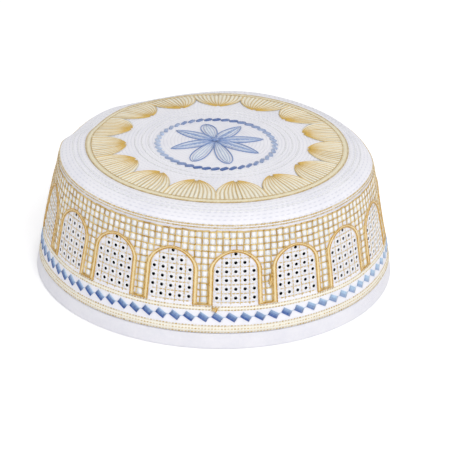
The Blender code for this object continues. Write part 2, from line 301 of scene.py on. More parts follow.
class Graph:
    """The node tree of one new material."""

    def __init__(self, name: str) -> None:
        """Start a material with only its output."""
        self.material = bpy.data.materials.new(name)
        self.material.use_nodes = True
        self.tree = self.material.node_tree
        self.tree.nodes.clear()
        self.output = self.tree.nodes.new("ShaderNodeOutputMaterial")

    def node(self, kind: str, settings: dict | None = None, inputs: dict | None = None) -> bpy.types.Node:
        """Add a node.

        Args:
            kind: Its type.
            settings: Properties, set before its sockets.
            inputs: Values or links of its sockets, by name or by number.

        Returns:
            The node.
        """
        node = self.tree.nodes.new(kind)
        for name, value in (settings or {}).items():
            setattr(node, name, value)
        for key, value in (inputs or {}).items():
            if isinstance(value, Socket):
                self.tree.links.new(value.socket, node.inputs[key])
            else:
                node.inputs[key].default_value = value
        return node

    def read(self, kind: str, output: Union[str, int], settings: dict | None = None,
             inputs: dict | None = None) -> Socket:
        """Add a node and take one of its outputs."""
        return Socket(self, self.node(kind, settings, inputs).outputs[output])

    def place(self) -> Socket:
        """Object coordinates."""
        return self.read("ShaderNodeTexCoord", "Object")

    def parts(self, vector: Socket) -> tuple[Socket, Socket, Socket]:
        """The three values of a vector."""
        node = self.node("ShaderNodeSeparateXYZ", None, {0: vector})
        return tuple(Socket(self, output) for output in node.outputs)

    def noise(self, vector: Socket, scale: float, detail: float = 2.0) -> Socket:
        """Soft noise from 0 to 1."""
        return self.read(
            "ShaderNodeTexNoise", 0, None, {"Vector": vector, "Scale": scale, "Detail": detail})

    def mix(self, factor: Union[Socket, float], first: Union[Socket, tuple],
            second: Union[Socket, tuple]) -> Socket:
        """Blend two colours."""
        settings = {"data_type": "RGBA", "clamp_factor": True}
        return self.read("ShaderNodeMix", 2, settings, {0: factor, 6: first, 7: second})

    def bump(self, height: Socket, depth: float, strength: float = 1.0) -> Socket:
        """Normal of a relief whose height 1 is a depth in metres."""
        return self.read(
            "ShaderNodeBump", 0, None, {"Height": height, "Distance": depth, "Strength": strength})

    def surface(self, inputs: dict) -> bpy.types.Material:
        """Close the graph with a Principled shader.

        Args:
            inputs: Values or links of the shader's sockets.

        Returns:
            The material.
        """
        shader = self.node("ShaderNodeBsdfPrincipled", None, inputs)
        self.tree.links.new(shader.outputs[0], self.output.inputs["Surface"])
        return self.material


def tint(red: int, green: int, blue: int) -> tuple[float, float, float, float]:
    """Linear colour of a shade as it is seen, each part from 0 to 255."""
    parts = [part / 255.0 for part in (red, green, blue)]
    linear = [p / 12.92 if p <= 0.04045 else ((p + 0.055) / 1.055) ** 2.4 for p in parts]
    return (*linear, 1.0)


# Finishes


@dataclass(frozen=True)
class Cotton:
    """White cotton cloth: fine plain weave, quilting stitches and soft painted shade in its hollows.

    Attributes:
        name: Name of the material.
        quilting: How the cloth is worked.
        light: Colour of the cloth.
        shade_and_mottle: Colour of the painted shade in its hollows, also the deep end of its random
            mottling.
        weave_pitch: Width of a thread over and under.
        weave_depth: Relief of the weave.
        weave_shade: Share of painted shade between the threads.
        round_pitch: Distance between the quilted rounds.
        stitches_round: Quilting stitches in a round.
        stitch_depth: How deep a quilting stitch is drawn in.
        stitch_shade: Share of painted shade in the groove of a quilting stitch.
        pad_depth: How high the cloth swells round an eyelet.
        pad_shade: Share of painted shade in the hollows between the pads.
        binding_relief: How much deeper the binding's weave is.
        slub_depth: Relief of the binding's uneven threads.
        slub_shade: Share of the hollows' colour on them.
        slub_light: Share by which the rest of the binding is lighter.
        mottle_scale: Scale of the cloth's soft shading.
        mottle_shade: Strength of that shading.
        mottle_depth: Relief of that shading.
    """

    name: str
    quilting: Quilting
    light: tuple = tint(241, 240, 246)
    shade_and_mottle: tuple = tint(196, 199, 218)
    weave_pitch: float = 0.00042
    weave_depth: float = 0.00004
    weave_shade: float = 0.05
    round_pitch: float = 0.0018
    stitches_round: int = 150
    stitch_depth: float = 0.00016
    stitch_shade: float = 0.46
    pad_depth: float = 0.0004
    pad_shade: float = 0.35
    binding_relief: float = 1.6
    slub_depth: float = 0.00012
    slub_shade: float = 0.22
    slub_light: float = 0.06
    mottle_scale: float = 70.0
    mottle_shade: float = 0.55
    mottle_depth: float = 0.00006

    def weave(self, graph: Graph, across: Socket, along: Socket) -> Socket:
        """Over and under of a plain weave, from -1 to 1."""
        turn = 2.0 * math.pi / self.weave_pitch
        return (across * turn).sine() * (along * turn).sine()

    def dress(self, form: CapForm, plan: "ArchPlan") -> bpy.types.Material:
        """Build the material.

        Args:
            form: The cap's form, for lengths along the wall.
            plan: The arches' plan, for the pads round the eyelets.

        Returns:
            The material.
        """
        graph = Graph(self.name)
        place = graph.place()
        x, y, z = graph.parts(place)
        angle = x.math("ARCTAN2", y * -1.0)
        radius = (x * x + y * y).math("SQRT")
        mottle = graph.noise(place, self.mottle_scale, 4.0)
        if self.quilting is Quilting.ROUNDS:
            turn = radius * (2.0 * math.pi / self.round_pitch)
            lane = turn.bell()
            dash = (angle * float(self.stitches_round) + turn * 0.25).bell()
            stitched = lane.math("POWER", 6.0) * dash
            weave = self.weave(graph, x, y)
            relief = weave * self.weave_depth - stitched * self.stitch_depth
            # Painted shade in the grooves of the quilting stitches.
            shade = stitched * self.stitch_shade
        elif self.quilting is Quilting.EYELET_PADS:
            turn = angle - math.radians(plan.first)
            arch = (turn / math.radians(plan.pitch) + 0.5).fraction() - 0.5
            column = (arch * (2.0 * math.pi * plan.pitch / plan.column_pitch)).bell()
            row = ((z - plan.first_row) * (2.0 * math.pi / plan.row_pitch)).bell()
            within = z.above(plan.first_row - plan.row_pitch / 2.0)
            pillow = (column * row).math("POWER", 0.5) * within
            weave = self.weave(graph, angle * form.reach, z)
            relief = weave * self.weave_depth + pillow * self.pad_depth
            # Painted shade in the hollows between the pads round the eyelets.
            shade = (1.0 - pillow) * within * self.pad_shade
        else:
            weave = self.weave(graph, angle * form.reach, z)
            slub = graph.noise(place, self.mottle_scale * 9.0, 3.0)
            relief = weave * self.weave_depth * self.binding_relief + slub * self.slub_depth
            shade = slub * self.slub_shade - self.slub_light
        # Random mottling, and painted shade between the weave's threads.
        tone = shade + (mottle - 0.5) * self.mottle_shade + (1.0 - weave) * self.weave_shade
        colour = graph.mix(tone, self.light, self.shade_and_mottle)
        return graph.surface({
            "Base Color": colour, "Roughness": 0.88, "Sheen Weight": 0.25, "Sheen Roughness": 0.5,
            "Specular IOR Level": 0.25, "Normal": graph.bump(relief + mottle * self.mottle_depth, 1.0)})


@dataclass(frozen=True)
class Thread:
    """Embroidery thread: filaments that twist along each stitch, from a deep to a pale shade.

    Attributes:
        name: Name of the material.
        slot: The record's slot that it belongs to; not used.
        deep: Its deepest colour.
        pale: Its palest colour.
        filament: Width of a filament.
        twist: Length in which the filaments turn once round.
        filament_depth: Relief of the filaments.
        valley: Share of shadow between them.
        wander: How far the shade wanders.
        wander_scale: Scale of that wandering.
        roughness: Roughness of the thread.
        sheen: Strength of its sheen.
    """

    name: str
    slot: Slot
    deep: tuple
    pale: tuple
    filament: float = 0.00021
    twist: float = 0.0016
    filament_depth: float = 0.00005
    valley: float = 0.15
    wander: float = 0.34
    wander_scale: float = 420.0
    roughness: float = 0.46
    sheen: float = 0.25

    def dress(self) -> bpy.types.Material:
        """Build the material, which reads the stitches' own attributes."""
        graph = Graph(self.name)
        along, across, _ = graph.parts(
            graph.read("ShaderNodeAttribute", "Vector", {"attribute_name": "thread"}))
        tone = graph.read("ShaderNodeAttribute", "Fac", {"attribute_name": "tone"})
        turn = across * (2.0 * math.pi / self.filament) + along * (2.0 * math.pi / self.twist)
        filament = turn.bell()
        wander = graph.noise(graph.place(), self.wander_scale, 2.0)
        shade = tone + (wander - 0.5) * self.wander
        colour = graph.mix(shade, self.deep, self.pale)
        dark = tuple(part * 0.45 for part in self.deep[:3]) + (1.0,)
        colour = graph.mix((1.0 - filament) * self.valley, colour, dark)
        return graph.surface({
            "Base Color": colour, "Roughness": self.roughness, "Sheen Weight": self.sheen,
            "Sheen Roughness": 0.4, "Specular IOR Level": 0.45,
            "Normal": graph.bump(filament, self.filament_depth)})


@dataclass(frozen=True)
class ShadedHole:
    """Painted shade on the walls inside an eyelet: dark at the front of the cap, paler at its sides."""

    dark: tuple = tint(20, 19, 23)
    pale: tuple = tint(116, 114, 120)
    near: float = 40.0
    far: float = 52.0
    name: str = "eyelet_shade"

    def dress(self) -> bpy.types.Material:
        """Build the material."""
        graph = Graph(self.name)
        place = graph.place()
        x, y, _ = graph.parts(place)
        turn = x.math("ARCTAN2", y * -1.0).math("ABSOLUTE") * math.degrees(1.0)
        # Painted shade, dark up to near degrees from the front and paler past far degrees.
        closed = (turn - self.near) / (self.far - self.near)
        mottle = graph.noise(place, 900.0, 2.0)
        return graph.surface({
            "Base Color": graph.mix(closed + (mottle - 0.5) * 0.2, self.dark, self.pale),
            "Roughness": 0.95, "Specular IOR Level": 0.0})


@dataclass(frozen=True)
class StudioFloor:
    """Matt pale floor, lit from within so that it shows white, with painted shade under the cap and a
    soft painted shadow round its foot.
    """

    name: str = "pale_floor"
    colour: tuple = tint(250, 250, 251)
    glow: float = 0.24
    shaded: float = 0.084
    lit: float = 0.096

    def dress(self) -> bpy.types.Material:
        """Build the material."""
        graph = Graph(self.name)
        place = graph.place()
        mottle = graph.noise(place, 6.0, 2.0)
        colour = graph.mix(mottle * 0.15, self.colour, tint(244, 244, 246))
        x, y, _ = graph.parts(place)
        # The glow fades out between the lit and the shaded radius: painted shadow round the cap's foot,
        # painted shade beneath it.
        out = ((x * x + y * y).math("SQRT") - self.shaded) / (self.lit - self.shaded)
        return graph.surface({
            "Base Color": colour, "Roughness": 0.9, "Specular IOR Level": 0.1,
            "Emission Color": graph.mix(out, tint(0, 0, 0), self.colour),
            "Emission Strength": self.glow})


class Threads(Enum):
    """The threads of the embroidery."""

    ARCH = Thread("gold_arch_thread", Slot.GOLD, tint(200, 150, 40), tint(254, 240, 196))
    LATTICE = Thread("gold_lattice_thread", Slot.GOLD, tint(180, 140, 54), tint(252, 228, 166))
    SHELL = Thread("gold_shell_thread", Slot.GOLD, tint(222, 184, 88), tint(255, 251, 234))
    RING = Thread("gold_ring_thread", Slot.PALE_GOLD, tint(200, 168, 98), tint(253, 246, 218))
    PALE = Thread("pale_gold_thread", Slot.PALE_GOLD, tint(210, 180, 108), tint(250, 244, 228))
    CREAM = Thread("cream_thread", Slot.PALE_GOLD, tint(246, 240, 222), tint(252, 249, 242), valley=0.06)
    BLUE = Thread("blue_satin_thread", Slot.BLUE, tint(46, 92, 174), tint(196, 222, 246), sheen=0.4)
    SLATE = Thread("slate_blue_thread", Slot.BLUE, tint(66, 100, 166), tint(220, 234, 255), sheen=0.4)
    SKY = Thread("light_blue_thread", Slot.BLUE, tint(116, 148, 206), tint(244, 249, 255), sheen=0.4)
    WHITE = Thread("white_cotton_thread", Slot.COTTON, tint(232, 236, 240), tint(252, 252, 254),
                   valley=0.08)

    @cache
    def finish(self) -> bpy.types.Material:
        """The thread's material, made once."""
        return self.value.dress()


# Needlework


class StrandPattern:
    """Closed round strand of unit radius, whose rings are laid along a line of points."""

    def __init__(self, steps: int, sides: int) -> None:
        """Spin a circle straight along its axis and cap its ends.

        Args:
            steps: Lengths along the strand.
            sides: Sides round it.
        """
        work = bmesh.new()
        bmesh.ops.create_circle(work, cap_ends=False, segments=sides, radius=1.0)
        bmesh.ops.spin(
            work, geom=work.verts[:] + work.edges[:], cent=(0.0, 0.0, 0.0), axis=(0.0, 0.0, 1.0),
            dvec=(0.0, 0.0, 1.0), angle=0.0, steps=steps, use_merge=False, use_duplicate=False)
        rims = [edge for edge in work.edges if edge.is_boundary]
        bmesh.ops.holes_fill(work, edges=rims, sides=sides)
        bmesh.ops.recalc_face_normals(work, faces=work.faces)
        places = np.array([vertex.co for vertex in work.verts])
        self.faces = [[vertex.index for vertex in face.verts] for face in self._indexed(work)]
        self.ring = np.rint(places[:, 2]).astype(int)
        self.across = places[:, 0]
        self.rise = places[:, 1]
        self.steps = steps
        work.free()

    @staticmethod
    def _indexed(work: bmesh.types.BMesh) -> Iterable[bmesh.types.BMFace]:
        """Number the vertices and give the faces."""
        work.verts.index_update()
        return work.faces


@dataclass(frozen=True)
class Stitch:
    """Size, seat and shade of one kind of stitch or cord.

    Attributes:
        width: Half of its width.
        height: How high it stands over its seat.
        seat: Height of its middle over the cloth.
        end: Share of its thickness that is left at its ends.
        tone: Its usual shade, from 0, deep, to 1, pale.
        vary: How far single stitches stray from that shade.
    """

    width: float
    height: float
    seat: float = 0.0
    end: float = 0.35
    tone: float = 0.5
    vary: float = 0.0

    def shade(self, rng: np.random.Generator) -> float:
        """Shade of the next stitch."""
        return float(rng.normal(self.tone, self.vary))

    def shades(self, rng: np.random.Generator, count: int) -> Array:
        """Shades for the stitches of a chain to take in turn."""
        return rng.normal(self.tone, self.vary, count)


class Needlework:
    """Stitches and cords worked on a flat layout and laid on the cap as one mesh."""

    def __init__(self, lay: Layout, steps: int = 4, sides: int = 5) -> None:
        """Start an empty piece of work.

        Args:
            lay: How the flat work is laid on the cap.
            steps: Lengths along each strand.
            sides: Sides round each strand.
        """
        self.lay = lay
        self.pattern = StrandPattern(steps, sides)
        self.share = np.linspace(0.0, 1.0, steps + 1)
        self.lines: list[Array] = []
        self.widths: list[Array] = []
        self.heights: list[Array] = []
        self.tones: list[Array] = []
        self.seats: list[float] = []

    def swell(self, end: float, power: float = 3.0) -> Array:
        """Share of a strand's full thickness along it, with its ends drawn in."""
        inward = np.sqrt(np.maximum(0.0, 1.0 - np.abs(2.0 * self.share - 1.0) ** power))
        return end + (1.0 - end) * inward

    def strand(self, points: Array, kind: Stitch, tone: Union[float, Sequence[float], None] = None,
               width: Union[float, Array, None] = None) -> None:
        """Lay one strand along a line.

        Args:
            points: The line, in the flat layout.
            kind: The kind of stitch.
            tone: Its shade, or its shades from start to end, where not the usual one.
            width: Half of its width, or one for each ring, where not the usual one.
        """
        swell = self.swell(kind.end)
        tones = np.atleast_1d(np.asarray(kind.tone if tone is None else tone, float))
        stops = np.linspace(0.0, 1.0, len(tones))
        wide = np.broadcast_to(kind.width if width is None else width, self.share.shape)
        self.lines.append(even(np.asarray(points, float), self.pattern.steps + 1))
        self.widths.append(wide * swell)
        self.heights.append(kind.height * (0.4 + 0.6 * swell))
        self.tones.append(np.interp(self.share, stops, tones))
        self.seats.append(kind.seat)

    def stitch(self, start: Sequence[float], stop: Sequence[float], kind: Stitch,
               tone: float | None = None, width: float | None = None) -> None:
        """Lay one straight stitch between two places."""
        self.strand(np.array((start, stop)), kind, tone, width)

    def chain(self, points: Array, pitch: float, kind: Stitch, tones: Array, slant: float = 0.0,
              overlap: float = 0.25) -> None:
        """Work a line of stitches, each a little askew as in stem stitch.

        Args:
            points: The line, in the flat layout.
            pitch: Length of a stitch.
            kind: The kind of stitch.
            tones: Shades to take in turn.
            slant: How far its start and end lie to either side of the line.
            overlap: Share of the pitch by which it passes each neighbour, below 0 for a gap.
        """
        count = max(1, round(length_of(points) / pitch))
        stops = even(points, count + 1)
        for number, (start, stop) in enumerate(zip(stops, stops[1:])):
            ahead = stop - start
            side = np.array((-ahead[1], ahead[0])) / max(np.linalg.norm(ahead), WELD)
            start = start - ahead * overlap / 2.0 - side * slant
            stop = stop + ahead * overlap / 2.0 + side * slant
            self.stitch(start, stop, kind, float(tones[number % len(tones)]))

    def mesh(self, name: str) -> bpy.types.Mesh:
        """Lay all the strands on the cap.

        Args:
            name: Name of the new mesh.

        Returns:
            The mesh, with the attributes that its thread's finish reads.
        """
        lines = np.stack(self.lines)
        ahead = np.gradient(lines, axis=1)
        ahead /= np.maximum(np.linalg.norm(ahead, axis=2, keepdims=True), WELD)
        side = np.stack((-ahead[..., 1], ahead[..., 0]), axis=-1)
        ring = self.pattern.ring
        spread = np.stack(self.widths)[:, ring] * self.pattern.across
        places = lines[:, ring] + side[:, ring] * spread[..., None]
        proud = np.array(self.seats)[:, None] + np.stack(self.heights)[:, ring] * self.pattern.rise
        laid = self.lay(np.concatenate((places, proud[..., None]), axis=-1))
        steps = np.linalg.norm(np.diff(lines, axis=1), axis=2)
        run = np.concatenate((np.zeros((len(lines), 1)), np.cumsum(steps, axis=1)), axis=1)[:, ring]
        number = np.broadcast_to(np.arange(len(lines))[:, None], run.shape)
        size = len(ring)
        faces = [
            [index + strand * size for index in face]
            for strand in range(len(lines)) for face in self.pattern.faces]
        mesh = bpy.data.meshes.new(name)
        mesh.from_pydata(laid.reshape(-1, 3), [], faces, shade_flat=False)
        thread = np.stack((run, spread, number), axis=-1).astype(np.float32)
        layer = mesh.attributes.new("thread", "FLOAT_VECTOR", "POINT")
        layer.data.foreach_set("vector", thread.ravel())
        layer = mesh.attributes.new("tone", "FLOAT", "POINT")
        layer.data.foreach_set("value", np.stack(self.tones)[:, ring].astype(np.float32).ravel())
        return mesh

    def keep(self, name: str, thread: Threads, replaced: Iterable[str] = ()) -> None:
        """Lay all the strands on the cap as one piece.

        Args:
            name: Name of the new piece.
            thread: The thread that it is worked in.
            replaced: CAD nodes that the piece stands for.
        """
        keep(self.mesh(name), thread.finish(), replaced)


def keep(mesh: bpy.types.Mesh, material: bpy.types.Material,
         replaced: Iterable[str] = ()) -> bpy.types.Object:
    """Make a mesh a piece of the cap.

    Args:
        mesh: The mesh, in place.
        material: Its finish.
        replaced: CAD nodes that the piece stands for.

    Returns:
        The new object.
    """
    mesh.materials.clear()
    mesh.materials.append(material)
    piece = bpy.data.objects.new(mesh.name, mesh)
    bpy.context.scene.collection.objects.link(piece)
    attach(piece, BODY)
    if replaced:
        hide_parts(*replaced)
    LOG.info("%s: %d faces", piece.name, len(mesh.polygons))
    return piece


# Cotton pieces


def turned(name: str, profile: Sequence[tuple[float, float]], steps: int, closed: bool,
           phase: float = 0.0) -> bpy.types.Mesh:
    """Spin a profile of radii and heights round the cap's axis.

    Args:
        name: Name of the new mesh.
        profile: Points of the profile.
        steps: Facets round the axis.
        closed: Whether the profile's ends meet.
        phase: Azimuth of the first corner.

    Returns:
        The closed mesh, in the cap's round form.
    """
    work = bmesh.new()
    start = polar(np.array([radius for radius, _ in profile]), np.array(phase))
    verts = [work.verts.new((x, y, height)) for (x, y), (_, height) in zip(start, profile)]
    for first, second in zip(verts, verts[1:]):
        work.edges.new((first, second))
    if closed:
        work.edges.new((verts[-1], verts[0]))
    bmesh.ops.spin(
        work, geom=work.verts[:] + work.edges[:], cent=(0.0, 0.0, 0.0), axis=(0.0, 0.0, 1.0),
        dvec=(0.0, 0.0, 0.0), angle=2.0 * math.pi, steps=steps, use_merge=True, use_duplicate=False)
    bmesh.ops.remove_doubles(work, verts=work.verts, dist=WELD)
    bmesh.ops.recalc_face_normals(work, faces=work.faces)
    mesh = bpy.data.meshes.new(name)
    work.to_mesh(mesh)
    work.free()
    mesh.shade_smooth()
    return mesh


def settle_mesh(mesh: bpy.types.Mesh, form: CapForm) -> None:
    """Settle a round mesh into the cap's soft form."""
    places = np.empty(len(mesh.vertices) * 3, np.float32)
    mesh.vertices.foreach_get("co", places)
    settled = form.settle(places.reshape(-1, 3).astype(float))
    mesh.vertices.foreach_set("co", settled.astype(np.float32).ravel())
    mesh.update()


@dataclass(frozen=True)
class ArchPlan:
    """Where the arches and their eyelets stand on the wall."""

    form: CapForm
    count: int = 17
    first: float = 7.3
    spacing: float = 0.0051
    foot: float = 0.0215
    apex: float = 0.0498
    rise: float = 0.0103
    leg_bar: float = 0.0023
    apex_bar: float = 0.0012
    pointing: float = 1.8
    first_row: float = 0.0253
    row_pitch: float = 0.00446
    column_pitch: float = 3.05
    columns_by_row: tuple[int, ...] = (5, 5, 5, 5, 3, 1)

    @property
    def pitch(self) -> float:
        """Degrees from one arch to the next."""
        return 360.0 / self.count

    @property
    def half_width(self) -> float:
        """Half of an arch's outer width."""
        return (math.radians(self.pitch) * self.form.reach - self.spacing) / 2.0

    def middles(self) -> list[float]:
        """Azimuths of the arches' middles."""
        return [self.first + number * self.pitch for number in range(self.count)]

    def line(self, inset: float, middle: float = 0.0) -> Array:
        """Line of an arch from its left foot over the apex to its right foot.

        Args:
            inset: 0 on the bar's outer edge, 1 on its inner edge.
            middle: Azimuth of the arch's middle.

        Returns:
            Array of places along and up the wall.
        """
        half = self.half_width - inset * self.leg_bar
        spring = self.apex - self.rise
        top = self.apex - inset * self.apex_bar
        swing = np.linspace(math.pi, 0.0, 33)
        power = 2.0 / self.pointing
        cosine, sine = np.cos(swing), np.maximum(np.sin(swing), 0.0)
        along = half * np.sign(cosine) * np.abs(cosine) ** power
        height = spring + (top - spring) * sine ** power
        along = np.concatenate(([-half], along, [half]))
        height = np.concatenate(([self.foot], height, [self.foot]))
        return np.stack((along + self.form.along(middle), height), axis=-1)

    def depth(self, along: Array, height: Array, inset: float = 0.0) -> Array:
        """How far inside the nearest arch a place is: above 0 within its line, below 0 outside."""
        step = math.radians(self.pitch) * self.form.reach
        offset = (along - self.form.along(self.first)) / step
        offset = (offset - np.rint(offset)) * step
        half = self.half_width - inset * self.leg_bar
        spring = self.apex - self.rise
        top = self.apex - inset * self.apex_bar
        up = np.maximum(height - spring, 0.0) / (top - spring)
        return 1.0 - (np.abs(offset) / half) ** self.pointing - up ** self.pointing

    def all_round(self, level: float) -> Array:
        """Level line all round the wall."""
        half_turn = math.pi * self.form.reach
        return np.array(((-half_turn, level), (half_turn, level)))

    def eyelets(self) -> list[tuple[float, float]]:
        """Azimuth and height of every eyelet."""
        places = []
        for middle in self.middles():
            for row, columns in enumerate(self.columns_by_row):
                for column in range(columns):
                    turn = (column - (columns - 1) / 2.0) * self.column_pitch
                    places.append((middle + turn, self.first_row + row * self.row_pitch))
        return places


@dataclass
class CrownCloth:
    """The round top, quilted in rounds, with its edge turned down over the shoulder."""

    form: CapForm
    plan: ArchPlan
    thickness: float = 0.0018
    rib_pitch: float = 0.0018
    rib_depth: float = 0.00010
    gap: float = 0.0003
    facets: int = 306
    shoulder_steps: int = 14
    inner_shares: tuple[float, ...] = (0.985, 0.95, 0.9, 0.82, 0.6, 0.3, 0.0)
    sheet_width: float = 0.165
    sheet_area: float = 0.0214

    def profile(self) -> list[tuple[float, float]]:
        """Profile from the axis over the shoulder to the seam, and back inside."""
        form = self.form
        rows = int(form.ring_radius / self.rib_pitch * 4.0)
        flat = np.linspace(0.0, form.ring_radius, rows, endpoint=False)
        swing = np.linspace(0.0, math.pi / 2.0, self.shoulder_steps, endpoint=False)
        outer = np.concatenate((flat, form.ring_radius + form.shoulder_width * np.sin(swing)))
        rib = 0.5 - 0.5 * np.cos(outer * 2.0 * math.pi / self.rib_pitch)
        fade = np.clip(outer / self.rib_pitch - 1.0, 0.0, 1.0)
        heights = form.crown_height(outer) + self.rib_depth * (rib * fade - 1.0)
        edge = form.seam_height + self.gap
        points = list(zip(outer, heights)) + [(float(form.wall_radius(np.array(edge))), edge)]
        inner_edge = float(form.wall_radius(np.array(form.seam_height))) - self.thickness
        points.append((inner_edge, edge))
        for share in self.inner_shares:
            radius = share * (inner_edge - self.thickness * 0.2)
            points.append((radius, float(form.crown_height(np.array(radius))) - self.thickness))
        return points

    def build(self) -> None:
        """Make the crown's cloth in place of the plain panel."""
        mesh = turned("crown_cloth", self.profile(), self.facets, closed=False)
        settle_mesh(mesh, self.form)
        cotton = Cotton("crown_cotton", Quilting.ROUNDS, round_pitch=self.rib_pitch)
        piece = keep(mesh, cotton.dress(self.form, self.plan), ["crown_panel"])


@dataclass
class WallCloth:
    """The side wall, with every eyelet pierced through it."""

    form: CapForm
    plan: ArchPlan
    thickness: float = 0.0018
    ply: float = 0.0010
    gap: float = 0.0003
    hem_height: float = 0.0075
    hem_blend: float = 0.010
    hole_band: tuple[float, float] = (0.25, 0.75)
    eyelet_radius: float = 0.00080
    eyelet_sides: int = 12
    facets: int = 306
    rows: int = 18
    sheet_length: float = 0.567
    sheet_width: float = 0.062

    def inside(self, height: float, depth: float) -> tuple[float, float]:
        """Profile point at a height and at a depth square to the wall."""
        slant = math.sqrt(1.0 + self.form.lean ** 2)
        return float(self.form.wall_radius(np.array(height))) - depth * slant, height

    def profile(self) -> list[tuple[float, float]]:
        """Closed profile of the wall, with its lower edge pressed thin inside the hem."""
        top = self.form.seam_height
        foot = self.hem_height + 2.0 * self.gap
        pressed = self.ply + self.gap
        points = [self.inside(height, 0.0) for height in np.linspace(top, foot, self.rows)]
        points.append(self.inside(self.hem_height + self.gap, pressed))
        points.append(self.inside(pressed, pressed))
        points.append(self.inside(pressed, pressed + self.ply))
        points.append(self.inside(self.hem_height + self.gap, pressed + self.ply))
        heights = np.linspace(foot + self.hem_blend, top, self.rows // 2)
        points += [self.inside(height, self.thickness) for height in heights]
        return points

    def cutters(self) -> bpy.types.Object:
        """One object of the rods that pierce the wall."""
        work = bmesh.new()
        for azimuth, height in self.plan.eyelets():
            x, y, z = self.form_place(azimuth, height)
            lying = Matrix.Rotation(math.radians(90.0), 4, "X")
            turn = Matrix.Rotation(math.radians(azimuth), 4, "Z")
            bmesh.ops.create_cone(
                work, cap_ends=True, segments=self.eyelet_sides, radius1=self.eyelet_radius,
                radius2=self.eyelet_radius, depth=4.0 * self.thickness,
                matrix=Matrix.Translation((x, y, z)) @ turn @ lying)
        mesh = bpy.data.meshes.new("eyelet_rods")
        work.to_mesh(mesh)
        work.free()
        rods = bpy.data.objects.new("eyelet_rods", mesh)
        bpy.context.scene.collection.objects.link(rods)
        return rods

    def form_place(self, azimuth: float, height: float) -> tuple[float, float, float]:
        """Place in the round wall's thickness."""
        radius, _ = self.inside(height, self.thickness / 2.0)
        x, y = polar(np.array(radius), np.array(azimuth))
        return float(x), float(y), height

    def build(self) -> None:
        """Make the wall's cloth in place of the plain band."""
        phase = self.plan.first + 180.0 / self.facets
        blank = bpy.data.objects.new(
            "wall_blank", turned("wall_blank", self.profile(), self.facets, closed=True, phase=phase))
        bpy.context.scene.collection.objects.link(blank)
        rods = self.cutters()
        pierce = blank.modifiers.new("pierce", "BOOLEAN")
        pierce.operation = "DIFFERENCE"
        pierce.solver = "EXACT"
        pierce.object = rods
        depsgraph = bpy.context.evaluated_depsgraph_get()
        mesh = bpy.data.meshes.new_from_object(blank.evaluated_get(depsgraph))
        mesh.name = "wall_cloth"
        bpy.data.objects.remove(blank)
        bpy.data.objects.remove(rods)
        mesh.shade_smooth()
        mesh.set_sharp_from_angle(angle=math.radians(40.0))
        in_holes = [self.in_hole(face.center) for face in mesh.polygons]
        settle_mesh(mesh, self.form)
        cotton = Cotton("wall_cotton", Quilting.EYELET_PADS)
        piece = keep(mesh, cotton.dress(self.form, self.plan), ["side_band"])
        # The walls inside the eyelets take painted shade.
        mesh.materials.append(ShadedHole().dress())
        for face, shaded in zip(mesh.polygons, in_holes):
            face.material_index = int(shaded)

    def in_hole(self, place: Vector) -> bool:
        """Whether a face's middle lies inside the wall's thickness, on the wall of an eyelet."""
        depth = float(self.form.wall_radius(np.array(place.z))) - math.hypot(place.x, place.y)
        near, far = self.hole_band
        return self.plan.foot < place.z < self.plan.apex and near < depth / self.thickness < far


@dataclass
class Hem:
    """The plain white binding folded round the wall's lower edge."""

    wall: WallCloth
    rounding: float = 0.0006
    facets: int = 306
    sheet_length: float = 0.567
    sheet_width: float = 0.018

    def profile(self) -> list[tuple[float, float]]:
        """Closed U-shaped profile of the binding."""
        wall = self.wall
        inner = wall.ply + wall.gap + wall.ply + wall.gap
        full = inner + wall.ply
        top = wall.hem_height
        soft = self.rounding
        outside = [(top, soft / 2.0), (top - soft, 0.0)]
        outside += [(float(height), 0.0) for height in np.linspace(top - 2.0 * soft, 2.0 * soft, 5)]
        fold = [(soft, 0.0), (0.3 * soft, 0.3 * soft), (0.0, soft)]
        under = [(0.0, full - soft), (0.3 * soft, full - 0.3 * soft), (soft, full)]
        back = [(top, full), (top, inner), (wall.ply, inner), (wall.ply, wall.ply), (top, wall.ply)]
        return [wall.inside(height, depth) for height, depth in outside + fold + under + back]

    def build(self) -> None:
        """Make the binding in place of the plain one."""
        form, plan = self.wall.form, self.wall.plan
        mesh = turned("hem_cloth", self.profile(), self.facets, closed=True)
        mesh.set_sharp_from_angle(angle=math.radians(50.0))
        settle_mesh(mesh, form)
        cotton = Cotton("hem_cotton", Quilting.BINDING)
        piece = keep(mesh, cotton.dress(form, plan), ["hem_band"])


# Embroidery on the wall


@dataclass
class Eyelets:
    """Raised white buttonhole rims round the pierced eyelets."""

    plan: ArchPlan
    inner: float = 0.00082
    sides: int = 12
    rim: Stitch = Stitch(0.000365, 0.00026, end=1.0, tone=0.95)

    def build(self) -> None:
        """Work a closed round of thread about each eyelet."""
        form = self.plan.form
        work = Needlework(form.on_wall, steps=self.sides, sides=4)
        turn = np.linspace(0.0, 2.0 * math.pi, self.sides + 1)
        rim = np.stack((np.cos(turn), np.sin(turn)), axis=-1) * (self.inner + self.rim.width)
        for azimuth, height in self.plan.eyelets():
            work.strand(rim + np.array((form.along(azimuth), height)), self.rim)
        work.keep("eyelet_rims", Threads.WHITE)


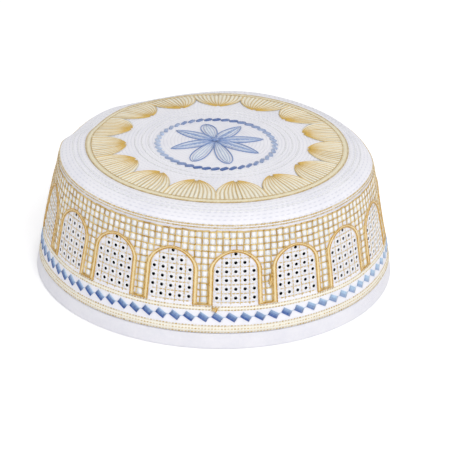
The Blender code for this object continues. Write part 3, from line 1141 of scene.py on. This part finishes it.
@dataclass
class Lattice:
    """Gold lattice between and above the arches, with a padded white square in each cell."""

    plan: ArchPlan
    columns_per_arch: int = 9
    first_column: float = 0.35
    top: float = 0.0585
    row_pitch: float = 0.00326
    rows: int = 12
    jitter: float = 0.00013
    stray: float = 0.20
    top_row: Stitch = Stitch(0.0004875, 0.00035, 0.0001, 0.7, tone=0.54)
    row: Stitch = Stitch(0.00039, 0.00028, 0.0001, 0.7, tone=0.54)
    upright: Stitch = Stitch(0.00039, 0.00028, 0.0001, 0.7, tone=0.44)
    knot: Stitch = Stitch(0.00052, 0.000364, 0.00015, 0.5, tone=0.18)
    knot_reach: tuple[float, float] = (0.00052, 0.00026)
    knot_clear: float = -0.02
    pad: Stitch = Stitch(0.0, 0.00032, end=0.62, tone=0.75, vary=0.3)
    pad_share: float = 0.42
    pad_clear: float = -0.16

    def crossings(self) -> tuple[Array, Array]:
        """Places along the wall of the columns, one more than all round, and heights of the rows."""
        form = self.plan.form
        columns = self.plan.count * self.columns_per_arch
        first = form.along(self.plan.first + self.first_column)
        pitch = 2.0 * math.pi * form.reach / columns
        return first + np.arange(columns + 1) * pitch, self.top - np.arange(self.rows) * self.row_pitch

    def clipped(self, start: Array, stop: Array) -> tuple[Array, Array] | None:
        """The stretch of a thread outside the arches' bars, if it has one."""
        shares = np.linspace(0.0, 1.0, 13)[:, None]
        places = start + (stop - start) * shares
        clear = self.plan.depth(places[:, 0], places[:, 1], inset=0.5) < 0.0
        if not clear.any():
            return None
        kept = places[clear]
        return kept[0], kept[-1]

    def build(self) -> None:
        """Work the threads, the knots at their crossings and the padded squares."""
        rng = np.random.default_rng(SEED)
        lay = self.plan.form.on_wall
        along, heights = self.crossings()
        uprights = Needlework(lay, steps=4, sides=5)
        rows = Needlework(lay, steps=4, sides=5)
        knots = Needlework(lay, steps=2, sides=6)
        for column, x in enumerate(along[:-1]):
            for row, z in enumerate(heights):
                here = np.array((x, z)) + rng.normal(0.0, self.jitter, 2)
                beside = np.array((along[column + 1], z)) + rng.normal(0.0, self.jitter, 2)
                below = np.array((x, z - self.row_pitch)) + rng.normal(0.0, self.jitter, 2)
                strays = rng.normal(0.0, self.stray, 3)
                stretch = self.clipped(here, beside)
                if stretch is not None:
                    kind = self.row if row else self.top_row
                    rows.stitch(*stretch, kind, kind.tone + strays[0])
                stretch = self.clipped(here, below) if row < self.rows - 1 else None
                if stretch is not None:
                    uprights.stitch(*stretch, self.upright, self.upright.tone + strays[1])
                if self.plan.depth(x, z) < self.knot_clear:
                    reach = np.array(self.knot_reach)
                    knots.stitch(here - reach, here + reach, self.knot, self.knot.tone + strays[2])
        uprights.keep("lattice_uprights", Threads.LATTICE)
        rows.keep("lattice_rows", Threads.LATTICE)
        knots.keep("lattice_knots", Threads.LATTICE)
        self.build_pads(along, heights, rng)

    def build_pads(self, along: Array, heights: Array, rng: np.random.Generator) -> None:
        """Pad each cell that stands clear of the arches with a small white square."""
        pads = Needlework(self.plan.form.on_wall, steps=3, sides=6)
        pitch = along[1] - along[0]
        reach = np.array((0.0, self.row_pitch * self.pad_share))
        for x in along[:-1] + pitch / 2.0:
            for z in heights[:-1] - self.row_pitch / 2.0:
                if self.plan.depth(x, z) <= self.pad_clear:
                    tone = float(np.clip(self.pad.shade(rng), 0.0, 1.0))
                    pads.stitch((x, z) - reach, (x, z) + reach, self.pad, tone, pitch * self.pad_share)
        pads.keep("lattice_pads", Threads.WHITE)


@dataclass
class Arches:
    """Gold arches: a padded satin bar with a deep cord on its inner edge and a paler one outside."""

    plan: ArchPlan
    bar: Stitch = Stitch(0.0, 0.00034, 0.0001, 0.85, tone=0.80)
    inner_cord: Stitch = Stitch(0.00036, 0.00042, 0.0003, tone=0.04, vary=0.10)
    outer_cord: Stitch = Stitch(0.00036, 0.00042, 0.0002, tone=0.24, vary=0.14)
    joint_cord: Stitch = Stitch(0.00036, 0.00042, 0.0003, tone=0.15, vary=0.12)
    inner_inset: float = 0.84
    outer_inset: float = 0.16
    cord_pitch: float = 0.0014
    cord_slant: float = 0.00010
    cord_shades: int = 61
    joint_shades: int = 7
    joint_height: float = 0.0219
    steps: int = 52

    def build(self) -> None:
        """Work the bars and their cords, and the line that joins the feet of neighbours."""
        rng = np.random.default_rng(SEED + 1)
        plan = self.plan
        bars = Needlework(plan.form.on_wall, steps=self.steps, sides=8)
        inner = Needlework(plan.form.on_wall, steps=4, sides=5)
        outer = Needlework(plan.form.on_wall, steps=4, sides=5)
        for middle in plan.middles():
            outside = even(plan.line(0.0, middle), self.steps + 1)
            inside = even(plan.line(1.0, middle), self.steps + 1)
            width = np.linalg.norm(outside - inside, axis=1) / 2.0
            bars.strand((outside + inside) / 2.0, self.bar, width=width)
            start = plan.form.along(middle) + plan.half_width - plan.leg_bar / 2.0
            stop = start + plan.spacing + plan.leg_bar
            joint = np.array(((start, self.joint_height), (stop, self.joint_height)))
            for work, line, cord, count in (
                    (inner, plan.line(self.inner_inset, middle), self.inner_cord, self.cord_shades),
                    (outer, plan.line(self.outer_inset, middle), self.outer_cord, self.cord_shades),
                    (inner, joint, self.joint_cord, self.joint_shades)):
                work.chain(line, self.cord_pitch, cord, cord.shades(rng, count), self.cord_slant)
        names = [f"arch_{number + 1:02d}" for number in range(plan.count)]
        bars.keep("arch_bars", Threads.ARCH, names)
        inner.keep("arch_inner_cords", Threads.ARCH)
        outer.keep("arch_outer_cords", Threads.ARCH)


@dataclass
class ArchGrid:
    """Pale dashed lines inside the arches, half way between the eyelets."""

    plan: ArchPlan
    pitch: float = 0.0019
    gap_share: float = 0.07
    above_foot: float = 0.0005
    columns: tuple[float, ...] = (-2.5, -1.5, -0.5, 0.5, 1.5, 2.5)
    dash: Stitch = Stitch(0.00034, 0.00024, tone=0.18, vary=0.2)

    def build(self) -> None:
        """Work the upright and level lines of every arch."""
        plan, form = self.plan, self.plan.form
        rng = np.random.default_rng(SEED + 2)
        work = Needlework(form.on_wall, steps=3, sides=4)
        bottom = plan.foot + self.above_foot
        for middle in plan.middles():
            centre = form.along(middle)
            for column in self.columns:
                x = centre + math.radians(column * plan.column_pitch) * form.reach
                self.dashes(work, (x, bottom), (x, plan.apex), rng)
            for row in range(len(plan.columns_by_row)):
                z = max(plan.first_row + (row - 0.5) * plan.row_pitch, bottom)
                self.dashes(work, (centre - plan.half_width, z), (centre + plan.half_width, z), rng)
        work.keep("arch_grids", Threads.PALE)

    def dashes(self, work: Needlework, start: tuple, stop: tuple, rng: np.random.Generator) -> None:
        """Work the dashes of one line that lie inside the arch's bar."""
        count = round(math.dist(start, stop) / self.pitch)
        stops = np.linspace(start, stop, count + 1)
        for first, second in zip(stops, stops[1:]):
            gap = (second - first) * self.gap_share
            ends = first + gap, second - gap
            if all(self.plan.depth(x, z, inset=1.0) > 0.0 for x, z in ends):
                work.stitch(*ends, self.dash, self.dash.shade(rng))


@dataclass
class RunningStitches:
    """Pale gold lines of small stitches: two under the arches, three over the hem, two on the edge."""

    plan: ArchPlan
    levels: tuple[float, ...] = (0.0193, 0.0209, 0.0083, 0.0099, 0.0115)
    edge_levels: tuple[float, ...] = (0.0603, 0.0615)
    grounds: tuple[tuple[float, float], ...] = ((0.0200, 0.0012), (0.0099, 0.0019))
    ground: Stitch = Stitch(0.0, 0.00012, end=1.0)
    pitch: float = 0.00150
    shades: int = 97
    small: Stitch = Stitch(0.00036, 0.00028, 0.00008, tone=0.34, vary=0.22)
    edge: Stitch = Stitch(0.00036, 0.00028, 0.0001, tone=0.30, vary=0.2)

    def build(self) -> None:
        """Work every line all round the wall."""
        rng = np.random.default_rng(SEED + 3)
        lay = self.plan.form.on_wall
        ground = Needlework(lay, steps=self.plan.count * 9, sides=6)
        for level, half in self.grounds:
            ground.strand(self.plan.all_round(level), self.ground, width=half)
        ground.keep("stitch_grounds", Threads.CREAM)
        for name, levels, kind, slant, overlap in (
                ("running_stitches", self.levels, self.small, 0.00006, -0.30),
                ("edge_lines", self.edge_levels, self.edge, 0.00008, 0.1)):
            work = Needlework(lay, steps=3, sides=4)
            for level in levels:
                work.chain(self.plan.all_round(level), self.pitch, kind,
                           kind.shades(rng, self.shades), slant, overlap)
            work.keep(name, Threads.PALE)


@dataclass
class Lozenges:
    """Row of slanted blue satin oblongs with painted satin sheen: deep at their lower left, light at
    their upper right, and paler on the cap's right side.
    """

    plan: ArchPlan
    count: int = 80
    first: float = 1.6
    level: float = 0.0158
    length: float = 0.0048
    breadth: float = 0.0029
    slant: float = -33.0
    threads: int = 9
    thread_share: float = 0.62
    satin: Stitch = Stitch(0.0, 0.00042, 0.00012, 0.7, tone=0.02)
    # Painted satin sheen: the tone rises towards each oblong's upper right.
    lighter: float = 0.80
    lighter_power: float = 1.4
    # Painted sheen that makes the oblongs paler on the cap's right side.
    fade: float = 0.62
    sheen_from: float = 0.35
    jog: float = 0.03
    stray: float = 0.05
    hair: Stitch = Stitch(0.00014, 0.00016, 0.00003)
    hair_pitch: float = 0.0044
    hair_tones: tuple[float, float] = (0.75, 0.85)

    def build(self) -> None:
        """Work the oblongs and the fine line that joins them."""
        rng = np.random.default_rng(SEED + 4)
        form = self.plan.form
        work = Needlework(form.on_wall, steps=4, sides=5)
        slope = math.radians(self.slant)
        ahead = np.array((math.cos(slope), math.sin(slope))) * self.length / 2.0
        side = np.array((-math.sin(slope), math.cos(slope))) * self.breadth
        width = self.breadth / self.threads * self.thread_share
        for number in range(self.count):
            azimuth = self.first + number * 360.0 / self.count
            centre = np.array((form.along(azimuth), self.level))
            sideways = math.sin(math.radians(azimuth))
            # Painted sheen, paler towards the cap's right side.
            sheen_lift = self.fade * float(smooth_step((sideways - self.sheen_from) * 2.0))
            for thread in range(self.threads):
                share = (thread + 0.5) / self.threads
                middle = centre + side * (share - 0.5) + ahead * rng.normal(0.0, self.jog)
                # Painted satin sheen towards the upper right, plus the painted sheen on the cap's right
                # side.
                tone = self.satin.tone + self.lighter * share ** self.lighter_power + sheen_lift
                tone += float(rng.normal(0.0, self.stray))
                work.stitch(middle - ahead, middle + ahead, self.satin, tone, width)
        work.keep("blue_lozenges", Threads.BLUE)
        hair = Needlework(form.on_wall, steps=3, sides=4)
        hair.chain(self.plan.all_round(self.level), self.hair_pitch, self.hair,
                   np.array(self.hair_tones), overlap=0.1)
        hair.keep("lozenge_hairline", Threads.BLUE)


@dataclass
class LooseThreads:
    """Two places where the gold thread was finished off in a small tangle."""

    plan: ArchPlan
    spots: tuple[tuple[float, float, float, float], ...] = (
        (0.7, 0.0196, 0.0020, 0.0013), (18.9, 0.0322, 0.0010, 0.0024))
    threads: int = 11
    scatter: float = 0.35
    reach: float = 0.55
    end: Stitch = Stitch(0.00032, 0.0005, 0.0007, tone=0.35, vary=0.2)

    def build(self) -> None:
        """Work short threads across each spot."""
        rng = np.random.default_rng(SEED + 5)
        form = self.plan.form
        work = Needlework(form.on_wall, steps=4, sides=5)
        for azimuth, height, wide, tall in self.spots:
            centre = np.array((form.along(azimuth), height))
            for _ in range(self.threads):
                middle = centre + rng.normal(0.0, self.scatter, 2) * (wide, tall)
                reach = rng.normal(0.0, self.reach, 2) * (wide, tall)
                work.stitch(middle - reach, middle + reach, self.end, self.end.shade(rng))
        work.keep("thread_ends", Threads.ARCH)


# Embroidery on the crown


def circle(radius: float, steps: int) -> Array:
    """Closed line on the crown at a radius."""
    return polar(np.full(steps + 1, radius), np.linspace(-180.0, 180.0, steps + 1))


@dataclass
class Shells:
    """Fifteen gold shells, each a fan of ribs that opens from its tip to the ring."""

    form: CapForm
    count: int = 15
    first: float = 12.0
    tip: float = 0.0455
    foot: float = 0.0636
    notch: float = 0.06
    outs: tuple[float, ...] = (0.0, 0.06, 0.20, 0.40, 0.62, 1.0)
    sides: tuple[float, ...] = (0.10, 0.38, 0.68, 0.90, 1.00, 1.00)
    ribs: int = 13
    steps: int = 14
    reach: float = 0.985
    waver: float = 0.012
    rib_stray: float = 0.08
    rib: Stitch = Stitch(0.00024, 0.00024, 0.00036, 0.55)
    edge_rib: Stitch = Stitch(0.00030, 0.00030, 0.00036, 0.55)
    rib_tones: tuple[float, ...] = (-0.30, 0.24, 0.36, 0.40)
    fill: Stitch = Stitch(0.0, 0.00030, 0.00014, 0.85, tone=0.98, vary=0.06)
    fill_tones: tuple[float, ...] = (0.12, 0.82, 0.93, 0.97)
    fill_share: float = 1.45

    def line(self, middle: float, share: float) -> Array:
        """Line of one rib, at a share of the way from the shell's middle to its side."""
        start = self.notch * (1.0 - abs(share)) ** 1.5
        out = np.linspace(start, 1.0, 24)
        side = np.interp(out, self.outs, self.sides)
        turn = share * side * 180.0 / self.count
        return polar(self.tip + out * (self.foot - self.tip), middle + turn)

    def build(self) -> None:
        """Work the ribs, and the flat threads that fill between them."""
        rng = np.random.default_rng(SEED + 6)
        ribs = Needlework(self.form.on_crown, steps=self.steps, sides=5)
        fills = Needlework(self.form.on_crown, steps=self.steps, sides=4)
        shares = np.linspace(-1.0, 1.0, self.ribs)
        spread = math.radians(360.0 / self.count) / (self.ribs - 1) / 2.0 * self.fill_share
        for number in range(self.count):
            middle = self.first + number * 360.0 / self.count
            for share in shares:
                kind = self.edge_rib if abs(share) == 1.0 else self.rib
                tones = np.array(self.rib_tones) + rng.normal(0.0, self.rib_stray)
                place = share * self.reach + float(rng.normal(0.0, self.waver))
                ribs.strand(self.line(middle, place), kind, tones)
            for share in (shares[1:] + shares[:-1]) / 2.0:
                line = even(self.line(middle, share), self.steps + 1)
                radius = np.hypot(line[:, 0], line[:, 1])
                out = np.interp((radius - self.tip) / (self.foot - self.tip), self.outs, self.sides)
                tones = (*self.fill_tones, self.fill.shade(rng))
                fills.strand(line, self.fill, tones, radius * spread * out)
        names = [f"shell_{number + 1:02d}" for number in range(self.count)]
        fills.keep("shell_fills", Threads.SHELL, names)
        ribs.keep("shell_ribs", Threads.SHELL)


@dataclass
class CrownRing:
    """Flat pale gold ring between two deeper lines, round the shells."""

    form: CapForm
    inner: float = 0.0630
    outer: float = 0.0657
    band: Stitch = Stitch(0.0013, 0.00026, 0.00022, 1.0, tone=0.84)
    inner_line: Stitch = Stitch(0.00030, 0.00030, 0.0003, tone=0.12, vary=0.14)
    outer_line: Stitch = Stitch(0.00030, 0.00030, 0.0003, tone=0.24, vary=0.14)
    pitch: float = 0.0017
    slant: float = 0.00010
    shades: int = 83
    steps: int = 120

    def build(self) -> None:
        """Work the band and the two lines in place of the plain ring."""
        rng = np.random.default_rng(SEED + 7)
        band = Needlework(self.form.on_crown, steps=self.steps, sides=6)
        band.strand(circle((self.inner + self.outer) / 2.0, self.steps), self.band)
        lines = Needlework(self.form.on_crown, steps=4, sides=5)
        for radius, kind in ((self.inner, self.inner_line), (self.outer, self.outer_line)):
            lines.chain(circle(radius, self.steps), self.pitch, kind, kind.shades(rng, self.shades),
                        self.slant)
        band.keep("ring_band", Threads.RING, ["crown_ring"])
        lines.keep("ring_lines", Threads.RING)


@dataclass
class DashRing:
    """Ring of slanted blue stitches round the flower, like a rope, with painted sheen that makes it paler
    at its sides, most of all on the left.
    """

    form: CapForm
    count: int = 42
    radius: float = 0.0293
    centre: tuple[float, float] = (-0.0005, -0.0034)
    length: float = 0.0047
    breadth: float = 0.0021
    slant: float = 27.0
    rounding: float = 0.12
    thread: Stitch = Stitch(0.0, 0.00055, 0.00015, 0.45, tone=0.06)
    breadth_to_width: float = 4.6
    breadth_to_spacing: float = 3.4
    # Painted sheen: paler tone at the ring's sides, and more on its left.
    side_sheen: float = 0.60
    left_sheen: float = 0.14
    step_fade: float = 0.06
    stray: float = 0.06

    def build(self) -> None:
        """Work each dash as three threads side by side."""
        rng = np.random.default_rng(SEED + 8)
        work = Needlework(self.form.on_crown, steps=4, sides=5)
        for number in range(self.count):
            azimuth = number * 360.0 / self.count
            angle = math.radians(azimuth + self.slant)
            ahead = np.array((math.cos(angle), math.sin(angle)))
            side = np.array((-ahead[1], ahead[0]))
            middle = polar(np.array(self.radius), np.array(azimuth)) + self.centre
            sideways = math.sin(math.radians(azimuth))
            # Painted sheen, paler at the ring's sides and more on its left.
            fade = self.side_sheen * sideways ** 2 + self.left_sheen * max(0.0, -sideways)
            for thread in (-1.0, 0.0, 1.0):
                place = middle + side * thread * self.breadth / self.breadth_to_spacing
                reach = ahead * self.length / 2.0 * (1.0 - self.rounding * abs(thread))
                tone = self.thread.tone + fade + self.step_fade * thread
                tone += float(rng.normal(0.0, self.stray))
                work.stitch(place - reach, place + reach, self.thread, tone,
                            self.breadth / self.breadth_to_width)
        work.keep("blue_dash_ring", Threads.SLATE)


@dataclass(frozen=True)
class Petal:
    """One petal: its azimuth from the flower's middle, its length, and whether it has a deep rib."""

    azimuth: float
    length: float
    ribbed: bool


@dataclass
class Flower:
    """Blue flower with eight petals, each outlined and filled with long stitches."""

    form: CapForm
    centre: tuple[float, float] = (-0.0010, -0.0005)
    half_width: float = 0.0042
    petals: tuple[Petal, ...] = (
        Petal(-24.0, 0.0268, False), Petal(14.8, 0.0272, False), Petal(59.0, 0.0254, True),
        Petal(98.5, 0.0244, True), Petal(145.0, 0.0224, True), Petal(-165.5, 0.0204, False),
        Petal(-120.0, 0.0230, True), Petal(-64.5, 0.0243, True),
    )
    fill: Stitch = Stitch(0.00090, 0.00022, 0.0001, 0.3)
    fill_shares: tuple[float, ...] = (-0.42, 0.0, 0.42)
    fill_tones: tuple[float, ...] = (0.45, 0.85, 0.97, 0.92)
    edge: Stitch = Stitch(0.00029, 0.00026, 0.00025, 0.4)
    inner: Stitch = Stitch(0.00022, 0.00026, 0.00025, 0.4)
    edge_tones: tuple[float, float] = (-0.10, 0.14)
    inner_tones: tuple[float, float] = (0.46, 0.62)
    line_shares: tuple[float, ...] = (-1.0, -0.60, -0.20, 0.20, 0.60, 1.0)
    line_stray: float = 0.06
    vein: Stitch = Stitch(0.00026, 0.00030, 0.0003, tone=0.22, vary=0.08)
    vein_share: float = 0.26
    vein_pairs: int = 15
    heart: Stitch = Stitch(0.0004, 0.0006, 0.0006, tone=0.12, vary=0.08)
    heart_threads: int = 14
    heart_reach: float = 0.0016

    def line(self, petal: Petal, share: float) -> Array:
        """Long line of a petal, at a share of the way from its rib to its edge."""
        run = np.linspace(0.06, 1.0, 28)
        if petal.ribbed:
            leaf = np.sin(math.pi * run ** 0.9) ** 0.75 * self.half_width * 0.86 * share
        else:
            leaf = run ** 0.8 * (1.0 - run ** 2.6) ** 0.6 / 0.58 * self.half_width * 0.94 * share
        angle = math.radians(petal.azimuth)
        ahead = np.array((math.sin(angle), -math.cos(angle)))
        side = np.array((-ahead[1], ahead[0]))
        run = run * petal.length * (0.90 + 0.10 * abs(share))
        return ahead * run[:, None] + side * leaf[:, None] + self.centre

    def build(self) -> None:
        """Work fills, lines and ribs of all the petals in place of the plain flower."""
        rng = np.random.default_rng(SEED + 9)
        fills = Needlework(self.form.on_crown, steps=12, sides=6)
        lines = Needlework(self.form.on_crown, steps=12, sides=5)
        veins = Needlework(self.form.on_crown, steps=4, sides=5)
        for petal in self.petals:
            for share in self.fill_shares:
                fills.strand(self.line(petal, share), self.fill, self.fill_tones)
            for share in self.line_shares:
                edge = abs(share) == 1.0
                kind, tones = (self.edge, self.edge_tones) if edge else (self.inner, self.inner_tones)
                shade = tones[petal.ribbed] + float(rng.normal(0.0, self.line_stray))
                lines.strand(self.line(petal, share), kind, (0.0, shade, shade, shade - 0.1))
            if petal.ribbed:
                self.rib(petal, veins, rng)
        for _ in range(self.heart_threads):
            reach = rng.normal(0.0, self.heart_reach, 2)
            veins.stitch(reach + self.centre, self.centre - reach, self.heart, self.heart.shade(rng))
        fills.keep("flower_fills", Threads.SKY, ["flower"])
        lines.keep("flower_lines", Threads.SKY)
        veins.keep("flower_veins", Threads.SKY)

    def rib(self, petal: Petal, work: Needlework, rng: np.random.Generator) -> None:
        """Work a petal's rib as slanted stitches that meet on its middle line."""
        middle = self.line(petal, 0.0)
        for number in range(self.vein_pairs):
            place = int(2 + number * (len(middle) - 6) / self.vein_pairs)
            for share in (-self.vein_share, self.vein_share):
                start = self.line(petal, share)[min(place + 4, len(middle) - 1)]
                work.stitch(start, middle[place], self.vein, self.vein.shade(rng))


@dataclass
class WhiteWork:
    """White stitching on the white ground: rounds on the crown and on its shoulder."""

    form: CapForm
    rounds: tuple[float, ...] = (0.0345, 0.0378, 0.0411, 0.0695, 0.0722)
    pitch: float = 0.0027
    slant: float = 0.00010
    small: Stitch = Stitch(0.00042, 0.00020, -0.00002, tone=0.85, vary=0.15)
    shades: int = 91

    def build(self) -> None:
        """Work each round in small raised stitches."""
        rng = np.random.default_rng(SEED + 10)
        work = Needlework(self.form.on_crown, steps=3, sides=4)
        for radius in self.rounds:
            work.chain(circle(radius, 180), self.pitch, self.small, self.small.shades(rng, self.shades),
                       self.slant, overlap=-0.15)
        work.keep("white_rounds", Threads.WHITE)


# Studio


@dataclass
class Studio:
    """Pale floor, soft light and the camera at the photograph's angle."""

    camera_place: tuple[float, float, float] = (0.0, -1.09963, 0.58884)
    pitch: float = 0.4765
    yaw: float = 0.0047
    roll: float = 0.0296
    focal: float = 194.4
    sensor: float = 36.0
    floor_size: float = 6.0
    floor_level: float = -0.0001
    sky: float = 0.68
    key_power: float = 13.5
    key_size: float = 1.3
    key_place: tuple[float, float, float] = (0.38, -1.03, 1.34)

    def build(self) -> None:
        """Set up the floor, the lights and the camera."""
        self.build_floor()
        self.build_camera()
        self.build_lights()

    def build_floor(self) -> None:
        """Lay the floor."""
        work = bmesh.new()
        bmesh.ops.create_grid(work, x_segments=2, y_segments=2, size=self.floor_size / 2.0)
        bmesh.ops.translate(work, verts=work.verts, vec=(0.0, 0.0, self.floor_level))
        mesh = bpy.data.meshes.new("floor")
        work.to_mesh(mesh)
        work.free()
        mesh.materials.append(StudioFloor().dress())
        floor = bpy.data.objects.new("floor", mesh)
        bpy.context.scene.collection.objects.link(floor)

    def build_camera(self) -> None:
        """Place the camera."""
        ahead = Vector((
            math.sin(self.yaw) * math.cos(self.pitch), math.cos(self.yaw) * math.cos(self.pitch),
            -math.sin(self.pitch)))
        right = Vector((math.cos(self.yaw), -math.sin(self.yaw), 0.0))
        up = right.cross(ahead)
        cosine, sine = math.cos(self.roll), math.sin(self.roll)
        right, up = right * cosine + up * sine, up * cosine - right * sine
        lens = bpy.data.cameras.new("camera")
        lens.lens = self.focal
        lens.sensor_width = self.sensor
        lens.clip_start = 0.01
        camera = bpy.data.objects.new("camera", lens)
        turn = Matrix((right, up, -ahead)).transposed().to_4x4()
        camera.matrix_world = Matrix.Translation(self.camera_place) @ turn
        bpy.context.scene.collection.objects.link(camera)
        bpy.context.scene.camera = camera

    def build_lights(self) -> None:
        """Hang one wide soft lamp in an even white surround."""
        lamp = bpy.data.lights.new("soft_lamp", "AREA")
        lamp.energy = self.key_power
        lamp.shape = "DISK"
        lamp.size = self.key_size
        key = bpy.data.objects.new("soft_lamp", lamp)
        aim = Vector((0.0, 0.0, 0.04)) - Vector(self.key_place)
        turn = aim.to_track_quat("-Z", "Y").to_matrix().to_4x4()
        key.matrix_world = Matrix.Translation(self.key_place) @ turn
        bpy.context.scene.collection.objects.link(key)
        world = bpy.data.worlds.new("white_surround")
        world.use_nodes = True
        surround = world.node_tree.nodes["Background"]
        surround.inputs["Color"].default_value = (1.0, 1.0, 1.0, 1.0)
        surround.inputs["Strength"].default_value = self.sky
        bpy.context.scene.world = world
        bpy.context.scene.view_settings.view_transform = "Standard"


def main() -> None:
    """Build the cap piece by piece, then its studio."""
    logging.basicConfig(level=logging.INFO, format="%(message)s")
    form = CapForm()
    plan = ArchPlan(form)
    wall = WallCloth(form, plan)
    steps = (
        Studio(), CrownCloth(form, plan), wall, Hem(wall), Eyelets(plan), Lattice(plan), Arches(plan),
        ArchGrid(plan), RunningStitches(plan), Lozenges(plan), LooseThreads(plan), Shells(form),
        CrownRing(form), DashRing(form), Flower(form), WhiteWork(form))
    for step in steps:
        LOG.info("building %s", type(step).__name__)
        step.build()


if __name__ == "__main__":
    main()
